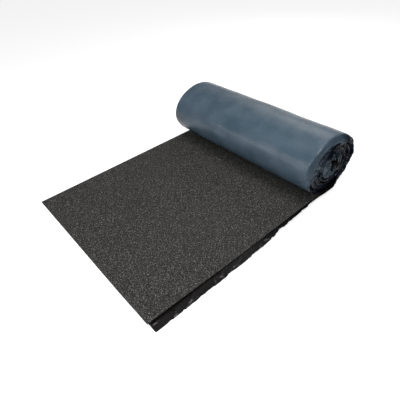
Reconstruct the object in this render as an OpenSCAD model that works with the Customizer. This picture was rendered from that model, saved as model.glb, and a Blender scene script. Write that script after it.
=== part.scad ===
// Roll of mineral-surfaced roofing felt, partly unrolled. The wound body lies on its own flat tail.
// X runs along the roll, Y from the tail's free edge to the roll, Z up from the floor.

/* [Sheet] */
// width of the release film, along the roll
film_w = 1000; // [600:10:1200]
// how far the film runs past the felt on the lap side
lap_over = 40; // [20:1:60]
// thickness of the felt
felt_t = 3; // [2:0.1:4]
// thickness the film is built at, several times the real film
film_t = 0.5; // [0.4:0.1:0.8]
// flat tail, from its free edge to under the middle of the roll
tail_l = 1087; // [500:1:1500]
// how far the film stops short of the felt's free edge
film_back = 7; // [2:1:20]

/* [Wound body] */
// half width of the slumped oval roll
roll_a = 187; // [170:1:220]
// half height of the slumped oval roll
roll_b = 142; // [130:1:160]
// how far the underside has settled flat on the floor
settle = 1; // [0.8:0.1:1.5]
// half width of the eye left in the middle
eye_a = 50; // [40:1:80]
// half height of the eye left in the middle
eye_b = 56; // [40:1:62]
// turns that show on the ends
turns = 5; // [3:1:6]
// thickness of one turn's edge, felt and film together
turn_t = 4.5; // [4:0.1:6]
// depth of the gaps that show between the turns on the ends
gap_depth = 30; // [5:1:60]

/* [Turned-in film] */
// how far the film's collar stands out past the felt's end
collar_out = 25; // [10:1:35]
// how far the collar closes in towards the middle
collar_in = 26; // [5:1:40]

/* [Hidden] */

x_left = -film_w / 2;             // end where felt and film are flush
x_felt = film_w / 2 - lap_over;   // end of the felt on the lap side
y_free = -(tail_l + roll_a) / 2;  // free edge of the tail
y_roll = y_free + tail_l;         // axis of the roll
z_roll = roll_b - settle;
in_a = roll_a - film_t;           // oval of the felt, inside the film
in_b = roll_b - film_t;
oval_sides = 180;                 // flats round the felt
wrap_steps = 120;                 // flats round the film
film_a = in_a / cos(180 / wrap_steps);  // the film's flats stand clear of the felt
film_b = in_b / cos(180 / wrap_steps);
tail_top = film_t + felt_t;
collar_from = 24;                 // degrees from the underside where the collar starts
past = 1;                         // how far a cut or a joined end runs past its face
room = 50;                        // room round the roll in a cutting block
pitch_a = (in_a - turn_t - eye_a) / (turns - 1);
pitch_b = (in_b - turn_t - eye_b) / (turns - 1);

// A bar of oval section along X.
module oval_bar(a, b, x0, x1) {
  translate([x0, y_roll, z_roll]) scale([1, 1, b / a]) rotate([0, 90, 0])
    cylinder(r = a, h = x1 - x0, $fn = oval_sides);
}

// Angle from the underside at which an oval of half height b stands at height z.
function touch(z, b) = acos((z_roll - z) / b);

// Points round an oval, from the underside up the back, over the top and down the front.
function wrap(a, b, from, to) = [
  for (i = [0 : wrap_steps]) let (t = from + (to - from) * i / wrap_steps)
    [y_roll + a * sin(t), z_roll - b * cos(t)]
];

// Everything above one height, large enough to hold the roll.
module above(z) {
  translate([x_left - room, y_roll - roll_a - room, z])
    cube([film_w + 2 * room, 2 * (roll_a + room), 2 * (roll_b + room)]);
}

// The felt: wound body with its eye, the gaps between its turns on both ends, and the flat tail.
module mineral_felt() {
  color([0.17, 0.16, 0.155])
  difference() {
    union() {
      intersection() {
        oval_bar(in_a, in_b, x_left, x_felt);
        above(film_t);
      }
      translate([x_left, y_free, film_t]) cube([x_felt - x_left, tail_l, felt_t]);
    }
    oval_bar(eye_a, eye_b, x_left - past, x_felt + past);
    for (k = [1 : turns - 1], x = [x_left - past, x_felt - gap_depth])
      difference() {
        oval_bar(in_a - (k - 1) * pitch_a - turn_t, in_b - (k - 1) * pitch_b - turn_t,
                 x, x + gap_depth + past);
        oval_bar(in_a - k * pitch_a, in_b - k * pitch_b, x - past, x + gap_depth + 2 * past);
      }
  }
}

// The release film: under the tail with its bare lap strip, up round the back and over the roll,
// and down the front to where the roll meets the tail. Its collar turns in at the lap end.
module release_film() {
  color([0.30, 0.36, 0.42]) {
    translate([x_left, 0, 0]) rotate([90, 0, 90]) linear_extrude(x_felt - x_left)
      polygon([
        [y_free + film_back, 0],
        each wrap(roll_a, roll_b, touch(0, roll_b), 360 - touch(tail_top, roll_b)),
        each wrap(film_a, film_b, 360 - touch(tail_top, film_b), touch(film_t, film_b)),
        [y_free + film_back, film_t]
      ]);
    translate([x_felt - past, y_free + film_back, 0])
      cube([lap_over + past, tail_l - film_back, film_t]);
    translate([x_felt, y_roll, z_roll]) rotate([90, 0, 90])
      linear_extrude(collar_out, scale = 1 - collar_in / roll_a)
        translate([-y_roll, -z_roll])
          polygon([
            each wrap(roll_a, roll_b, collar_from, 360 - collar_from),
            each wrap(film_a, film_b, 360 - collar_from, collar_from)
          ]);
  }
}

mineral_felt();
release_film();
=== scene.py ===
import math

import bpy
import numpy as np
from mathutils import Matrix, Vector, noise


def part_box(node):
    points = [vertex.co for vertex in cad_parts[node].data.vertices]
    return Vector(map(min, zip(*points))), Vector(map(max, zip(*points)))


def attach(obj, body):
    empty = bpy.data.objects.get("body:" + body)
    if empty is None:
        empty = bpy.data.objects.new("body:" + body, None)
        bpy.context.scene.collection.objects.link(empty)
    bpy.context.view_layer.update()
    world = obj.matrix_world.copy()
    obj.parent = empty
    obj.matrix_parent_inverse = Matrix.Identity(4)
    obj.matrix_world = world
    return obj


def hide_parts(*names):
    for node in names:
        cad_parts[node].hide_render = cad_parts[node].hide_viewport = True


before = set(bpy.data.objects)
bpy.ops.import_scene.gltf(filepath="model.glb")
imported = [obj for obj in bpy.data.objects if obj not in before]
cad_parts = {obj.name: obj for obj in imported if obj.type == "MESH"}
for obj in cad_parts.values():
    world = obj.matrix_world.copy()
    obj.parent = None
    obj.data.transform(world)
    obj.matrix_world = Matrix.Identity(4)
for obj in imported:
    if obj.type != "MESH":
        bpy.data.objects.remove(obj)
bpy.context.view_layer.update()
bpy.ops.object.select_all(action="DESELECT")


# ---------------------------------------------------------------------------------------------
# The camera. It stands in front of the tail's lap corner, higher than a table, and looks down
# along the roll.
eye_point = Vector((1.1368, -0.8837, 1.1357))
look_turn = math.radians(52.0)
look_down = math.radians(40.07)
head_tilt = math.radians(-4.99)
film_gate_mm, lens_mm = 36.0, 32.07

bpy.ops.object.camera_add(location=eye_point)
camera = bpy.context.object
camera.name = "camera"
camera.data.sensor_width = film_gate_mm
camera.data.lens = lens_mm
camera.data.clip_start = 0.05
camera.data.clip_end = 50.0
back = Vector((
    math.sin(look_turn) * math.cos(look_down),
    -math.cos(look_turn) * math.cos(look_down),
    math.sin(look_down),
))
level = Vector((math.cos(look_turn), math.sin(look_turn), 0.0))
upward = back.cross(level)
across = level * math.cos(head_tilt) + upward * math.sin(head_tilt)
upward = back.cross(across)
camera.matrix_world = Matrix((
    (across.x, upward.x, back.x, eye_point.x),
    (across.y, upward.y, back.y, eye_point.y),
    (across.z, upward.z, back.z, eye_point.z),
    (0.0, 0.0, 0.0, 1.0),
))
bpy.context.scene.camera = camera


# ---------------------------------------------------------------------------------------------
# How the sheet lies. Felt and film follow one line seen from the end: flat on the floor as the
# tail, up round the back of the roll, over the top, down the front onto the tail, and on inwards
# in loose turns. The line is the outer face of the film.
felt_low, felt_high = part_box("mineral_felt")
film_low, film_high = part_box("release_film")
sheet_long = 5.0
half_wide, half_high = 0.187, 0.142
roll_y = film_high[1] - half_wide
roll_z = film_high[2] - half_high
tail_long = roll_y - felt_low[1]
# The second turn lies this far inside the outline, and each later one a gap further in.
rests_above = 0.0046
gap_back, gap_front, gap_over, gap_under = 0.034, 0.030, 0.020, 0.018
line_step = 2.0  # degrees


def smooth(x):
    """0 below 0 and 1 above 1, with an easy curve between."""
    x = min(1.0, max(0.0, x))
    return x * x * (3.0 - 2.0 * x)


def wound_in(turn):
    """How far inside the roll's outline the line is, after turning so many degrees."""
    if turn <= 360.0:
        return rests_above * smooth((turn - 300.0) / 60.0)
    sine, cosine = math.sin(math.radians(turn)), math.cos(math.radians(turn))
    step = (gap_back if sine > 0 else gap_front) * sine * sine
    step += (gap_under if cosine > 0 else gap_over) * cosine * cosine
    return rests_above + step * (turn - 360.0) / 360.0


laid_line = [(0.0, felt_low[1], 0.0, -360.0)]
turn = 0.0
while laid_line[-1][0] < sheet_long + 0.02:
    inside = wound_in(turn)
    y = roll_y + (half_wide - inside) * math.sin(math.radians(turn))
    z = max(0.0, roll_z - (half_high - inside) * math.cos(math.radians(turn)))
    last = laid_line[-1]
    laid_line.append((last[0] + math.hypot(y - last[1], z - last[2]), y, z, turn))
    turn += line_step


def on_line(along):
    """Place, inward direction and turned angle at a distance from the tail's free edge."""
    low, high = 0, len(laid_line) - 1
    while high - low > 1:
        middle = (low + high) // 2
        if laid_line[middle][0] <= along:
            low = middle
        else:
            high = middle
    a, b = laid_line[low], laid_line[high]
    part = (along - a[0]) / (b[0] - a[0])
    turned = (along - tail_long) / 0.2 if low == 0 else a[3] + (b[3] - a[3]) * part
    spots = []
    for i in (low, high):
        before, after = laid_line[max(0, i - 1)], laid_line[min(len(laid_line) - 1, i + 1)]
        run = math.hypot(after[1] - before[1], after[2] - before[2])
        spots.append((-(after[2] - before[2]) / run, (after[1] - before[1]) / run))
    ny = spots[0][0] + (spots[1][0] - spots[0][0]) * part
    nz = spots[0][1] + (spots[1][1] - spots[0][1]) * part
    if low == 0:
        ny, nz = 0.0, 1.0
    size = math.hypot(ny, nz)
    return a[1] + (b[1] - a[1]) * part, a[2] + (b[2] - a[2]) * part, ny / size, nz / size, turned


def flat_sheet(name, columns, rows):
    """A flat sheet of so many columns across and rows along, its corners at 0 and 1."""
    bpy.ops.object.select_all(action="DESELECT")
    bpy.ops.mesh.primitive_grid_add(
        x_subdivisions=columns, y_subdivisions=rows, size=1.0, location=(0.5, 0.5, 0.0)
    )
    bpy.ops.object.transform_apply(location=True)
    sheet = bpy.context.object
    sheet.name = name
    return sheet


body_columns = 33
end_columns = 4
rim_wide, end_wide = 0.012, 0.032


def body_place(column):
    """Place across the roll of a column of points on the felt, closer together at both ends."""
    if column <= 1:
        return film_low[0] + rim_wide * column
    if column <= body_columns - end_columns:
        between = felt_high[0] - end_wide - film_low[0] - rim_wide
        return film_low[0] + rim_wide + between * (column - 1) / (body_columns - end_columns - 1)
    return felt_high[0] - end_wide * (body_columns - column) / end_columns


broad_dent, small_dent = 0.0030, 0.0013
left_rim_wide, left_rim_in = 0.045, 0.004


def dent(across_x, along, turned):
    """How far the outer turn is dented in by handling, and turned in at its left rim."""
    shown = smooth(turned / 30.0) * smooth((355.0 - turned) / 30.0)
    if shown == 0.0:
        return 0.0
    broad = noise.noise(Vector((across_x * 6.0, along * 7.0, 11.0)))
    small = noise.noise(Vector((across_x * 15.0, along * 19.0, 17.0)))
    rim = smooth((film_low[0] + left_rim_wide - across_x) / left_rim_wide) ** 3
    turned_in = left_rim_in * rim * smooth((turned - 150.0) / 70.0)
    return shown * (broad_dent * broad + small_dent * small + turned_in)


def unroll_map(sheet, flat_places):
    """Keeps where each point lies on the flat sheet, in metres, as the piece's UV map."""
    layer = sheet.data.uv_layers.active or sheet.data.uv_layers.new(name="flat")
    for loop in sheet.data.loops:
        layer.data[loop.index].uv = flat_places[loop.vertex_index]


# The felt's end droops in a little round the front of the mouth, and takes the film with it.
# Round the mouth of the outer turn: degrees turned, how far before the felt's end the sheet
# starts to bend, and the film's angle there and at its free edge.
mouth_bends = (
    (0, 0.000, 20, 70), (30, 0.008, 30, 130), (70, 0.026, 22, 180), (115, 0.026, 22, 180),
    (138, 0.018, 14, 130), (152, 0.010, 12, 100), (166, 0.012, 28, 122), (185, 0.016, 38, 138),
    (200, 0.018, 44, 150), (213, 0.012, 62, 215), (226, 0.016, 58, 120), (240, 0.020, 54, 88),
    (258, 0.016, 55, 92), (275, 0.006, 70, 140), (292, 0.000, 80, 170), (330, 0.000, 75, 200),
    (360, 0.000, 75, 215),
)
# Inside, each turn's lap rolls over the felt's end and down into the gap before the next turn.
inner_bends = (
    (0, 0.0, 75, 215), (90, 0.0, 45, 185), (150, 0.0, 45, 150), (200, 0.0, 55, 122),
    (250, 0.0, 62, 118), (300, 0.0, 70, 160), (360, 0.0, 75, 215),
)
# The lap of the innermost turn lies flat across the eye.
flap_from, flap_start, flap_end = 1620.0, 62.0, 98.0
flap_over = 40.0
# How far a loose inner lap strays from its table, at its bend and at its free edge.
loose_start, loose_end = 30.0, 70.0
# The lap starts to curl so many degrees before the underside, over so many degrees.
curl_before, curl_over = 3.4, 2.2


def between_rows(table, turned):
    """The values of a table of bends at so many degrees turned."""
    low = max(i for i, row in enumerate(table[:-1]) if row[0] <= turned)
    a, b = table[low], table[low + 1]
    part = smooth((turned - a[0]) / (b[0] - a[0]))
    return [a[i] + (b[i] - a[i]) * part for i in (1, 2, 3)]


def lap_bend(turned):
    """Where the sheet starts to bend in, and the film's angle there and at its free edge."""
    if turned < 0.0:
        curl = smooth((turned + curl_before) / curl_over)
        return 0.0, math.radians(20.0) * curl, math.radians(62.0) * curl
    early, start, end = between_rows(mouth_bends, min(turned, 360.0))
    if turned > 360.0:
        loose = noise.noise(Vector((turned / 47.0, 5.0, 2.0))) * smooth((turned - 360.0) / 60.0)
        early, start, end = between_rows(inner_bends, turned % 360.0)
        flap = smooth((turned - flap_from) / flap_over)
        start += loose_start * loose
        end += loose_end * loose
        start += (flap_start - start) * flap
        end += (flap_end - end) * flap
    return early, math.radians(start), math.radians(end)


def end_droop(across_x, turned):
    """How far a point on the felt moves back along the roll and in, where the end droops."""
    early, start, end = lap_bend(turned)
    past = across_x - (felt_high[0] - early)
    if past <= 0.0 or early <= 0.0:
        return 0.0, 0.0
    return past * (1.0 - math.cos(start)), past * math.sin(start)


# ---------------------------------------------------------------------------------------------
# Mineral felt: bitumen on a carrier, with slate granules pressed into its upper face. One sheet,
# 0.96 m wide, cut square and wound loosely with the granules inwards.
felt_thick = 0.003
under_felt = 0.0005
felt_left, felt_right = felt_low[0], felt_high[0]
felt_rows = 420
tail_swell = 0.0012
corner_lift, corner_wide, corner_long = 0.011, 0.16, 0.3

felt = flat_sheet("mineral_felt_sheet", body_columns, felt_rows)
felt_flat = []
for vertex in felt.data.vertices:
    across_x = felt_left + body_place(round(vertex.co.x * body_columns)) - film_low[0]
    along = sheet_long * vertex.co.y
    felt_flat.append((across_x, along))
    y, z, ny, nz, turned = on_line(along)
    rise = under_felt
    if turned < 0.0:
        swell = noise.noise(Vector((across_x * 3.0, along * 2.4, 4.0)))
        rise += tail_swell * max(0.0, swell) * smooth(-turned / 0.6)
        from_corner = (felt_right - across_x) / corner_wide
        rise += corner_lift * math.exp(-from_corner ** 2 - (along / corner_long) ** 2)
    inset, drop = end_droop(across_x, turned)
    rise += drop + dent(across_x, along, turned)
    vertex.co = (across_x - inset, y + ny * rise, z + nz * rise)
unroll_map(felt, felt_flat)
bpy.ops.object.modifier_add(type="SOLIDIFY")
wall = felt.modifiers[-1]
wall.thickness = felt_thick
wall.offset = 1.0
wall.use_even_offset = True
bpy.ops.object.modifier_apply(modifier=wall.name)
bpy.ops.object.shade_smooth_by_angle(angle=math.radians(40))

chips_per_metre, clumps_per_metre = 500.0, 215.0
chip_shades = (
    (0.0, (0.006, 0.005, 0.005)), (0.25, (0.014, 0.013, 0.012)), (0.5, (0.027, 0.026, 0.024)),
    (0.74, (0.050, 0.048, 0.045)), (0.90, (0.118, 0.113, 0.106)), (0.975, (0.20, 0.195, 0.185)),
)

granules = bpy.data.materials.new("slate_granules")
granules.use_nodes = True
nodes, links = granules.node_tree.nodes, granules.node_tree.links
shader = nodes["Principled BSDF"]
place = nodes.new("ShaderNodeTexCoord")
chips = nodes.new("ShaderNodeTexVoronoi")
chips.inputs["Scale"].default_value = chips_per_metre
links.new(place.outputs["Object"], chips.inputs["Vector"])
chip_colour = nodes.new("ShaderNodeSeparateColor")
links.new(chips.outputs["Color"], chip_colour.inputs[0])
shades = nodes.new("ShaderNodeValToRGB")
shades.color_ramp.interpolation = "CONSTANT"
ramp = shades.color_ramp.elements
for stop, (position, colour) in zip(ramp, chip_shades):
    stop.position = position
    stop.color = (*colour, 1.0)
for position, colour in chip_shades[len(ramp):]:
    ramp.new(position).color = (*colour, 1.0)
links.new(chip_colour.outputs[0], shades.inputs["Fac"])
clumps = nodes.new("ShaderNodeTexNoise")
clumps.inputs["Scale"].default_value = clumps_per_metre
clumps.inputs["Detail"].default_value = 3.0
links.new(place.outputs["Object"], clumps.inputs["Vector"])
clump_range = nodes.new("ShaderNodeMapRange")
clump_range.inputs["From Min"].default_value = 0.40
clump_range.inputs["From Max"].default_value = 0.63
clump_range.inputs["To Min"].default_value = 0.05
clump_range.inputs["To Max"].default_value = 2.3
links.new(clumps.outputs["Fac"], clump_range.inputs["Value"])
clumped = nodes.new("ShaderNodeMix")
clumped.data_type = "RGBA"
clumped.blend_type = "MULTIPLY"
clumped.inputs[0].default_value = 1.0
links.new(shades.outputs["Color"], clumped.inputs[6])
links.new(clump_range.outputs["Result"], clumped.inputs[7])
links.new(clumped.outputs[2], shader.inputs["Base Color"])
shader.inputs["Roughness"].default_value = 0.85
relief = nodes.new("ShaderNodeBump")
relief.inputs["Strength"].default_value = 0.8
relief.inputs["Distance"].default_value = 0.001
links.new(chips.outputs["Distance"], relief.inputs["Height"])
links.new(relief.outputs["Normal"], shader.inputs["Normal"])
felt.data.materials.append(granules)
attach(felt, "root")
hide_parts("mineral_felt")


# ---------------------------------------------------------------------------------------------
# Release film: thin plastic film stuck to the underside of the felt, slate blue outside and
# black on the face that met the bitumen. It is wider than the felt, so on the lap side it runs
# bare beside the tail and crumples in over the end of the roll.
film_thick = 0.00025
film_start = 0.007
lap_wide = film_high[0] - felt_right
lap_columns = 13
tail_rows, wound_rows = 180, 820
film_rows = tail_rows + wound_rows
# How far the lap stands off: on the tail in ridges, waves and the finest crackle, and on the
# roll in folds and pleats.
ridge_high, wave_high, crackle_high = 0.012, 0.018, 0.002
fold_high, pleat_high = 0.014, 0.004


def film_along(row):
    """Distance from the tail's free edge of a row of points, closer together on the roll."""
    if row <= tail_rows:
        return film_start + (tail_long - film_start) * row / tail_rows
    return tail_long + (sheet_long - tail_long) * (row - tail_rows) / wound_rows


def crease(x):
    """A wave of straight flanks and sharp folds, from -1 to 1."""
    x = x - math.floor(x)
    return 4.0 * abs(x - 0.5) - 1.0


def lap_crumple(along, out, turned):
    """How far the film's lap stands off its smooth bend, at a share out of its width."""
    rough = noise.noise(Vector((along * 9.0, out * 0.8, 1.0)))
    fine = noise.noise(Vector((along * 42.0, out * 1.6, 7.0)))
    if turned < 0.0:
        finest = noise.noise(Vector((along * 90.0, out * 3.5, 3.0)))
        ridge = max(0.0, crease(along * 10.0 + 1.8 * rough + 0.9 * out) - 0.5) * out ** 0.7
        wave = max(0.0, rough + 0.35 * fine) * out
        crackle = crackle_high * abs(finest) * out
        return smooth(-turned / 0.9) * (ridge_high * ridge + wave_high * wave + crackle)
    amount = 0.15 + 0.85 * smooth((turned - 250.0) / 60.0)
    folds = crease(along * 9.0 + 3.0 * rough + 0.5 * out) * fold_high
    pleats = crease(along * 23.0 + 3.0 * fine - 0.6 * out) * pleat_high
    return amount * (folds + pleats) * out


film = flat_sheet("release_film_sheet", body_columns + lap_columns, film_rows)
film_flat = []
point_at = {}
line_at = [on_line(film_along(row)) for row in range(film_rows + 1)]
for vertex in film.data.vertices:
    column = round(vertex.co.x * (body_columns + lap_columns))
    row = round(vertex.co.y * film_rows)
    point_at[row, column] = vertex.index
    along = film_along(row)
    y, z, ny, nz, turned = line_at[row]
    across_x = body_place(min(column, body_columns))
    inset, drop = end_droop(across_x, turned)
    drop += dent(across_x, along, turned)
    if column <= body_columns:
        film_flat.append((across_x, along))
        vertex.co = (across_x - inset, y + ny * drop, z + nz * drop)
        continue
    out = (column - body_columns) / lap_columns
    film_flat.append((felt_right + lap_wide * out, along))
    early, start, end = lap_bend(turned)
    reach, rise = -inset, drop
    for i in range(column - body_columns):
        bend = start + (end - start) * (i + 0.5) / lap_columns
        reach += lap_wide / lap_columns * math.cos(bend)
        rise += lap_wide / lap_columns * math.sin(bend)
    bend = start + (end - start) * out
    stand = lap_crumple(along, out, turned)
    reach -= stand * math.sin(bend)
    rise += stand * math.cos(bend)
    vertex.co = (felt_right + reach, y + ny * rise, max(0.0, z + nz * rise))
unroll_map(film, film_flat)


# The bent lap is longer round its free edge than the mouth it closes. It is let settle to its cut
# length between neighbouring points, and the spare goes into folds. It has no weight here, and
# nothing keeps a fold from passing through the next one or through the felt.
settle_steps = 300
hold_first, hold_last = 0.05, 0.003
deepest_fold, highest_fold = 0.001, 0.009
# It settles from just before the roll inwards, and its first rows and columns stay put.
first_row = tail_rows - 50
still_rows, still_columns = 4, 2
# The hood over the top of the mouth and the flap across the eye are held harder than the rest.
hood_middle, hood_over, hood_hold, flap_hold = 205.0, 90.0, 14.0, 8.0
# Points so many rows and columns apart, the least share of their flat distance, and whether
# they also pull together.
neighbours = (
    (1, 0, 1.0, True), (0, 1, 1.0, True), (1, 1, 1.0, True), (1, -1, 1.0, True),
    (2, 0, 0.94, False), (4, 0, 0.88, False), (6, 0, 0.8, False), (0, 2, 0.95, False),
    (0, 4, 0.88, False),
)


def keep_apart(cloth, flat, free, down, right, share, pull):
    """Moves pairs of points, so many rows and columns apart, towards their flat distance."""
    rows, columns = free.shape
    near = (slice(0, rows - down), slice(max(0, -right), columns - max(0, right)))
    far = (slice(down, rows), slice(max(0, right), columns - max(0, -right)))
    rest = share * np.linalg.norm(flat[far] - flat[near], axis=-1)
    apart = cloth[far] - cloth[near]
    size = np.maximum(np.linalg.norm(apart, axis=-1), 1e-9)
    miss = (size - rest) / size if pull else np.minimum((size - rest) / size, 0.0)
    push = apart * (0.5 * miss / np.maximum(free[near] + free[far], 1e-9))[..., None]
    moved = np.zeros_like(cloth)
    moved[near] += push
    moved[far] -= push
    cloth += moved * free[..., None]


def settle(cloth, flat, free, holds):
    """Relaxes a grid of points to its cut lengths, held more and more loosely to its first shape."""
    wanted = cloth.copy()
    round_line, over_edge = np.zeros_like(cloth), np.zeros_like(cloth)
    round_line[1:-1] = cloth[2:] - cloth[:-2]
    over_edge[:, 1:] = cloth[:, 1:] - cloth[:, :-1]
    outward = np.cross(over_edge, round_line)
    outward /= np.maximum(np.linalg.norm(outward, axis=-1), 1e-9)[..., None]
    for step in range(settle_steps):
        hold = hold_first + (hold_last - hold_first) * step / settle_steps
        cloth += (wanted - cloth) * (hold * holds * free)[..., None]
        for pair in neighbours:
            keep_apart(cloth, flat, free, *pair)
        depth = ((cloth - wanted) * outward).sum(axis=-1)
        kept = np.clip(depth, -deepest_fold, highest_fold)
        cloth += outward * ((kept - depth) * free)[..., None]
        cloth[..., 0] = np.minimum(cloth[..., 0], film_high[0])
        cloth[..., 2] = np.maximum(cloth[..., 2], 0.0)


settling = range(first_row, film_rows + 1)
lap_grid = range(body_columns - 1, body_columns + lap_columns + 1)
cloth = np.array([
    [film.data.vertices[point_at[row, column]].co for column in lap_grid] for row in settling
])
free = np.ones(cloth.shape[:2])
free[:, :still_columns] = 0.0
free[:still_rows] = 0.0
flat = np.array([[
    (max(0.0, column - body_columns) * lap_wide / lap_columns, film_along(row))
    for column in lap_grid
] for row in settling])
turns_there = np.array([line_at[row][4] for row in settling])
on_hood = np.clip(1.0 - np.abs(turns_there - hood_middle) / hood_over, 0.0, 1.0)
on_flap = np.clip((turns_there - flap_from) / flap_over, 0.0, 1.0)
holds = np.ones(cloth.shape[:2]) + (hood_hold * on_hood + flap_hold * on_flap)[:, None]
settle(cloth, flat, free, holds)
for row in settling:
    for column in lap_grid:
        settled = cloth[row - first_row, column - lap_grid[0]]
        film.data.vertices[point_at[row, column]].co = settled


# Painted shade: the lap is painted near black from its crease outwards, where it rolls into the
# dark mouth of the roll. The hood that shows gets less of it, and so do patches of the inner laps,
# painted lighter where their folds catch the light, the innermost turns, the flap across the eye
# and the lap's free edge, which reads as a painted highlight along its rim.
hood_shade_lift, patch_shade_lift, inner_shade_lift, flap_shade_lift = 0.58, 0.25, 0.2, 0.28
inner_from = 1480.0
edge_shade = 0.82
# Painted shade also darkens the left rim of the outer turn, low on the front, where it turns in.
rim_shade, rim_shade_wide = 0.55, 0.15
painted_shade = film.data.attributes.new("painted_shade", "FLOAT", "POINT")
for (row, column), i in point_at.items():
    turned = line_at[row][4]
    past = body_place(min(column, body_columns)) - felt_right + lap_bend(turned)[0]
    past += lap_wide * max(0, column - body_columns) / lap_columns
    shade_lift = hood_shade_lift * smooth((turned - 150.0) / 25.0) * smooth((300.0 - turned) / 30.0)
    if turned > 360.0:
        patch = noise.noise(Vector((film_along(row) * 7.0, past * 40.0, 9.0)))
        shown = smooth((turned % 360.0 - 150.0) / 50.0) * smooth((320.0 - turned % 360.0) / 50.0)
        shade_lift = patch_shade_lift * shown * smooth(0.3 + patch * 3.0)
        shade_lift += inner_shade_lift * smooth((turned - inner_from) / 60.0)
        shade_lift += flap_shade_lift * smooth((turned - flap_from) / flap_over)
    # The painted shade begins at the crease, as a dark line where the lap bends in.
    out = smooth((past + 0.004) / 0.008)
    # The free edge gets less painted shade: a painted highlight along the rim.
    edge = edge_shade if column == body_columns + lap_columns else 1.0
    # Painted shade at the low front of the left rim.
    from_rim = body_place(min(column, body_columns)) - film_low[0]
    low_rim_shade = smooth((rim_shade_wide - from_rim) / rim_shade_wide)
    low_rim_shade *= rim_shade * smooth((turned - 235.0) / 40.0) * smooth((365.0 - turned) / 5.0)
    rolled_up = smooth((turned + curl_before) / curl_over)
    painted_shade.data[i].value = max(low_rim_shade, rolled_up * out * edge * (1.0 - shade_lift))


haze_per_metre, wrinkles_per_metre = 11.0, 42.0
wrinkle_deep, emboss_deep = 0.002, 0.0009
emboss_slant, emboss_scale = 38.0, 30.0


def film_finish(name, colour, dark_colour, shade_colour, roughness, shine, creased, embossed):
    """Plastic film: a hazy tone, shallow wrinkles along the roll and a fine embossed diamond.

    Roughness and shine are each given twice, for plain film and for film under painted shade,
    which also darkens the colour when a dark colour for it is given.
    """
    made = bpy.data.materials.new(name)
    made.use_nodes = True
    nodes, links = made.node_tree.nodes, made.node_tree.links
    shader = nodes["Principled BSDF"]
    place = nodes.new("ShaderNodeTexCoord")

    haze = nodes.new("ShaderNodeTexNoise")
    haze.inputs["Scale"].default_value = haze_per_metre
    haze.inputs["Detail"].default_value = 5.0
    links.new(place.outputs["UV"], haze.inputs["Vector"])
    haze_range = nodes.new("ShaderNodeMapRange")
    haze_range.inputs["From Min"].default_value = 0.35
    haze_range.inputs["From Max"].default_value = 0.65
    links.new(haze.outputs["Fac"], haze_range.inputs["Value"])
    tone = nodes.new("ShaderNodeMix")
    tone.data_type = "RGBA"
    tone.inputs[6].default_value = (*dark_colour, 1.0)
    tone.inputs[7].default_value = (*colour, 1.0)
    links.new(haze_range.outputs["Result"], tone.inputs[0])
    links.new(tone.outputs[2], shader.inputs["Base Color"])

    # Painted shade from the mesh darkens the colour and sets the roughness and shine of shaded film.
    shade_there = nodes.new("ShaderNodeAttribute")
    shade_there.attribute_name = "painted_shade"
    if shade_colour:
        shaded = nodes.new("ShaderNodeMix")
        shaded.data_type = "RGBA"
        shaded.inputs[7].default_value = (*shade_colour, 1.0)
        links.new(shade_there.outputs["Fac"], shaded.inputs[0])
        links.new(tone.outputs[2], shaded.inputs[6])
        links.new(shaded.outputs[2], shader.inputs["Base Color"])
    for socket, (when_unshaded, when_shaded) in (
        (shader.inputs["Roughness"], roughness), (shader.inputs["Specular IOR Level"], shine),
    ):
        socket.default_value = when_unshaded
        if when_shaded != when_unshaded:
            change = nodes.new("ShaderNodeMapRange")
            change.inputs["To Min"].default_value = when_unshaded
            change.inputs["To Max"].default_value = when_shaded
            links.new(shade_there.outputs["Fac"], change.inputs["Value"])
            links.new(change.outputs["Result"], socket)

    stretched = nodes.new("ShaderNodeMapping")
    stretched.inputs["Scale"].default_value = (0.35, 1.0, 1.0)
    links.new(place.outputs["UV"], stretched.inputs["Vector"])
    wrinkle = nodes.new("ShaderNodeTexNoise")
    wrinkle.inputs["Scale"].default_value = wrinkles_per_metre
    wrinkle.inputs["Detail"].default_value = 4.0
    links.new(stretched.outputs["Vector"], wrinkle.inputs["Vector"])
    relief = nodes.new("ShaderNodeBump")
    relief.inputs["Strength"].default_value = creased
    relief.inputs["Distance"].default_value = wrinkle_deep
    links.new(wrinkle.outputs["Fac"], relief.inputs["Height"])
    for slant in (-emboss_slant, emboss_slant):
        slanted = nodes.new("ShaderNodeMapping")
        slanted.inputs["Rotation"].default_value = (0.0, 0.0, math.radians(slant))
        links.new(place.outputs["UV"], slanted.inputs["Vector"])
        emboss = nodes.new("ShaderNodeTexWave")
        emboss.inputs["Scale"].default_value = emboss_scale
        links.new(slanted.outputs["Vector"], emboss.inputs["Vector"])
        pressed = nodes.new("ShaderNodeBump")
        pressed.inputs["Strength"].default_value = embossed
        pressed.inputs["Distance"].default_value = emboss_deep
        links.new(emboss.outputs["Fac"], pressed.inputs["Height"])
        links.new(relief.outputs["Normal"], pressed.inputs["Normal"])
        relief = pressed
    links.new(relief.outputs["Normal"], shader.inputs["Normal"])
    return made


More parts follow.
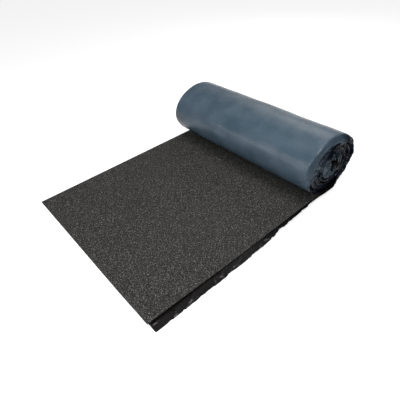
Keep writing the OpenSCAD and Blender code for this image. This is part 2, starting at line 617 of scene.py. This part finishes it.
# Where the lap has painted shade, the outside turns near black and both faces lose their shine.
film.data.materials.append(film_finish(
    "film_inside", colour=(0.009, 0.008, 0.008), dark_colour=(0.005, 0.004, 0.004),
    shade_colour=None, roughness=(0.20, 0.20), shine=(0.34, 0.0), creased=0.9, embossed=0.1,
))
film.data.materials.append(film_finish(
    "film_outside", colour=(0.076, 0.112, 0.148), dark_colour=(0.050, 0.082, 0.113),
    shade_colour=(0.002, 0.004, 0.009), roughness=(0.27, 0.20), shine=(0.32, 0.04),
    creased=0.3, embossed=0.4,
))
bpy.ops.object.modifier_add(type="SOLIDIFY")
wall = film.modifiers[-1]
wall.thickness = film_thick
wall.offset = 1.0
wall.use_even_offset = False
wall.material_offset = 1
wall.material_offset_rim = 1
bpy.ops.object.modifier_apply(modifier=wall.name)
bpy.ops.object.shade_smooth_by_angle(angle=math.radians(50))
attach(film, "root")
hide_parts("release_film")


# ---------------------------------------------------------------------------------------------
# Studio: a plain pale floor that glows a little, a big soft light overhead, a key beside the
# camera, a fill from the front and a sheen from behind. The room is brighter on the left.
floor_wide, floor_below = 60.0, 0.0003
floor_grey, floor_glow = 0.5, 0.78
room_left, room_right = 0.30, 0.10

bpy.ops.mesh.primitive_plane_add(size=floor_wide, location=(0.0, 0.0, -floor_below))
floor = bpy.context.object
floor.name = "studio_floor"
white = bpy.data.materials.new("studio_white")
white.use_nodes = True
shader = white.node_tree.nodes["Principled BSDF"]
shader.inputs["Base Color"].default_value = (floor_grey, floor_grey, floor_grey, 1.0)
shader.inputs["Roughness"].default_value = 0.9
shader.inputs["Emission Color"].default_value = (1.0, 1.0, 1.0, 1.0)
shader.inputs["Emission Strength"].default_value = floor_glow
floor.data.materials.append(white)


def soft_light(name, place, aim, size, watts):
    """A round soft light at a place, turned to its aim."""
    bpy.ops.object.light_add(type="AREA", location=place)
    light = bpy.context.object
    light.name = name
    light.data.shape = "DISK"
    light.data.size = size
    light.data.energy = watts
    light.rotation_euler = (Vector(aim) - Vector(place)).to_track_quat("-Z", "Y").to_euler()


soft_light("overhead", place=(0.5, 0.3, 2.5), aim=(0.1, 0.2, 0.0), size=1.8, watts=37.0)
soft_light("key", place=(1.0, -1.0, 1.5), aim=(0.1, 0.0, 0.0), size=0.9, watts=15.0)
soft_light("front_fill", place=(-1.4, -2.95, 1.47), aim=(0.2, 0.2, 0.2), size=0.45, watts=25.0)
soft_light("back_sheen", place=(-1.1, 2.5, 1.8), aim=(0.1, 0.45, 0.28), size=1.6, watts=12.0)

world = bpy.data.worlds.new("studio")
bpy.context.scene.world = world
world.use_nodes = True
nodes, links = world.node_tree.nodes, world.node_tree.links
background = nodes["Background"]
background.inputs["Color"].default_value = (1.0, 1.0, 1.0, 1.0)
direction = nodes.new("ShaderNodeTexCoord")
sideways = nodes.new("ShaderNodeSeparateXYZ")
links.new(direction.outputs["Generated"], sideways.inputs[0])
glow = nodes.new("ShaderNodeMapRange")
glow.inputs["From Min"].default_value = -1.0
glow.inputs["From Max"].default_value = 1.0
glow.inputs["To Min"].default_value = room_left
glow.inputs["To Max"].default_value = room_right
links.new(sideways.outputs[0], glow.inputs["Value"])
links.new(glow.outputs["Result"], background.inputs["Strength"])
bpy.context.scene.view_settings.view_transform = "Standard"
